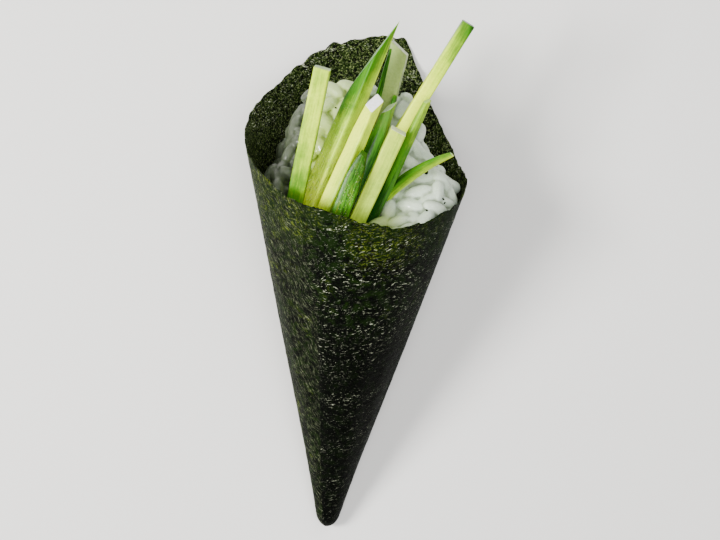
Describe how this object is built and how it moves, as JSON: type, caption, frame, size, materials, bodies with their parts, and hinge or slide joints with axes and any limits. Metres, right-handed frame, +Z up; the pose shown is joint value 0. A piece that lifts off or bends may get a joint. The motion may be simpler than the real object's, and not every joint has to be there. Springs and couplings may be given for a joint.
{
  "type": "hand roll",
  "caption": "A hand roll lying on its side: a cone of dark seaweed sheet, closed at the tip, filled with cooked rice and cucumber sticks that stand out of its open mouth.",
  "frame": {"origin": "middle of the bounding box, at the level of the surface that the roll lies on", "axes": "+Y runs along the roll from the closed tip to the mouth, +Z is up and is the side that the picture shows, and +X is to the right in the picture"},
  "size_m": [0.0566, 0.1354, 0.0513],
  "materials": {
    "nori": "dry, fibrous, slightly glossy",
    "rice": "moist, translucent",
    "cucumber_flesh": "moist, cut",
    "cucumber_skin": "glossy, moist"
  },
  "bodies": {
    "root": {"nori": "nori", "rice": "rice", "cucumber_left": "cucumber_flesh", "cucumber_tall": "cucumber_flesh", "cucumber_white_end": "cucumber_flesh", "cucumber_back_slab": "cucumber_flesh", "cucumber_front_pale": "cucumber_flesh", "cucumber_far_right": "cucumber_flesh", "cucumber_back_sliver": "cucumber_skin", "cucumber_grey_green": "cucumber_skin", "cucumber_front_green": "cucumber_skin", "cucumber_narrow_green": "cucumber_skin", "cucumber_curved_sliver": "cucumber_skin", "cucumber_small_sliver": "cucumber_skin"}
  },
  "joints": []
}
